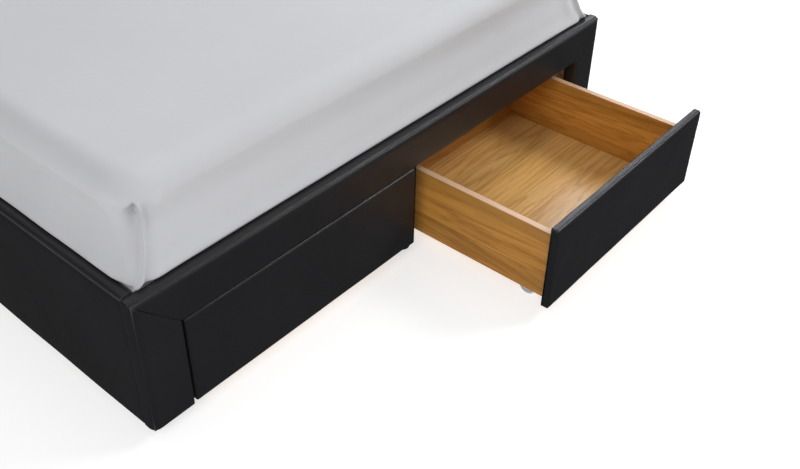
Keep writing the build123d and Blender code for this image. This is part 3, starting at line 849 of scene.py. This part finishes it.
def sheet_lift(points, levels, past):
    """How far the cloth stands off its smooth shape."""
    side = smooth_step(SHEET_TOP - 0.2 * SHEET_EDGE, ROLL_Z, points[:, 2])
    fold = corner_fold(past, levels) * smooth_step(-0.12, 0.0, levels)
    swell = SIDE_SWELL - HOLLOW_DEPTH * hump(levels, 0.7, 0.39)
    height, wavelength = TOP_WAVES
    broad = height * wave_noise(points * (1, 1, 0), wavelength, 8)
    drape = side_creases(points, levels, past)
    return fold + (drape + swell) * side + rail_brim(points, levels, past) + broad * (1 - side)


def fitted_sheet():
    """The sheet over the mattress: flat on top, rolled over the edge, with a fold at each corner."""
    centre = (sheet_high + sheet_low) / 2
    outline, past = walk_round(SHEET_HALF_WIDTH, SHEET_HALF_LENGTH)
    count = len(outline)
    rows = sheet_rows()
    points, levels = [], []
    for inset, z, radius in rows:
        half = (SHEET_HALF_WIDTH - inset, SHEET_HALF_LENGTH - inset)
        shrunk = outline * (half[0] / SHEET_HALF_WIDTH, half[1] / SHEET_HALF_LENGTH)
        ring = round_corners(shrunk, *half, radius)
        points.append(np.c_[ring + (centre.x, centre.y), np.full(count, z)])
        levels.append(np.full(count, (z - PANEL_TOP) / (ROLL_Z - PANEL_TOP)))
    points, levels = np.concatenate(points), np.concatenate(levels)
    faces = [(a, d, c, b) for a, b, c, d in quads_between(len(rows), count)]
    faces.append(tuple(range(count)))
    piece = make_object("bed_sheet", points, faces, SHEET_COTTON)

    mesh = piece.data
    normals = np.zeros(len(points) * 3)
    mesh.vertices.foreach_get("normal", normals)
    lift = sheet_lift(points, levels, np.tile(past, len(rows)))
    points = points + normals.reshape(-1, 3) * lift[:, None]
    mesh.vertices.foreach_set("co", points.ravel())
    mesh.update()

    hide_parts("fitted_sheet")
    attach(piece, "root")


fitted_sheet()


# ------------------------------------------------------------------ studio
WORLD_LIGHT = 0.33
WORLD_REFLECTED = 0.08
WORLD_SEEN = 0.85
FLOOR_GLOW = 0.62
FLOOR_REACH = 30.0
FLOOR_TONE_LOW = (0.54, 0.54, 0.54)
FLOOR_TONE_HIGH = (0.56, 0.56, 0.56)
WHITE = (1, 1, 1)
COOL = (0.9, 0.94, 1.0)
# Place, the point it faces, size, watts and colour of each soft box.
SOFT_BOXES = {
    "top_box": ((0.3, 0.4, 3.4), (0, 0, 0.3), (3.0, 3.0), 22, WHITE),
    "left_box": ((-2.8, -2.0, 2.7), (-0.2, -0.5, 0.3), (2.0, 2.0), 49, WHITE),
    "front_box": ((2.75, -2.75, 2.55), (0.1, -0.7, 0.3), (1.5, 1.0), 70, WHITE),
    "right_box": ((2.7, 0.15, 2.35), (0.2, -1.1, 0.25), (1.4, 1.3), 46, COOL),
}


def area_light(name, place, target, size, power, colour):
    """A soft box that faces its target."""
    light = bpy.data.objects.new(name, bpy.data.lights.new(name, "AREA"))
    bpy.context.scene.collection.objects.link(light)
    light.data.shape = "RECTANGLE"
    light.data.size, light.data.size_y = size
    light.data.energy = power
    light.data.color = colour
    light.location = place
    light.rotation_mode = "QUATERNION"
    light.rotation_quaternion = (Vector(target) - Vector(place)).to_track_quat("-Z", "Y")
    light.visible_camera = False


def surroundings():
    """Even white light all round: pale to look at, and only a dim glow in glossy surfaces."""
    world = bpy.data.worlds.new("studio")
    world.use_nodes = True
    nodes, links = world.node_tree.nodes, world.node_tree.links
    white = nodes["Background"]
    white.inputs["Strength"].default_value = WORLD_LIGHT
    white.inputs["Color"].default_value = (1, 1, 1, 1)
    dim = nodes.new("ShaderNodeBackground")
    dim.inputs["Strength"].default_value = WORLD_REFLECTED
    pale = nodes.new("ShaderNodeBackground")
    pale.inputs["Strength"].default_value = WORLD_SEEN
    paths = nodes.new("ShaderNodeLightPath")
    shown = white.outputs[0]
    for ray, background in (("Is Glossy Ray", dim), ("Is Camera Ray", pale)):
        choice = nodes.new("ShaderNodeMixShader")
        links.new(paths.outputs[ray], choice.inputs[0])
        links.new(shown, choice.inputs[1])
        links.new(background.outputs[0], choice.inputs[2])
        shown = choice.outputs[0]
    links.new(shown, nodes["World Output"].inputs["Surface"])
    bpy.context.scene.world = world


def studio():
    """Pale floor, even surroundings and four soft boxes."""
    corners = [(x, y, 0) for x, y in rectangle(FLOOR_REACH, FLOOR_REACH)]
    floor_look = Look("studio_floor", Roughness=0.9, Specular_IOR_Level=0.1)
    shade = floor_look.noise(floor_look.place(), scale=0.5, detail=2.0)
    floor_look.feed("Base Color", floor_look.ramp(shade, ((0.0, FLOOR_TONE_LOW), (1.0, FLOOR_TONE_HIGH))))
    floor_look.feed("Emission Color", (1, 1, 1, 1))
    floor_look.feed("Emission Strength", FLOOR_GLOW)
    floor = make_object("studio_floor", corners, [(0, 1, 2, 3)], floor_look.material, False)
    floor.visible_glossy = False
    surroundings()
    bpy.context.scene.view_settings.view_transform = "Standard"
    for name, settings in SOFT_BOXES.items():
        area_light(name, *settings)


studio()
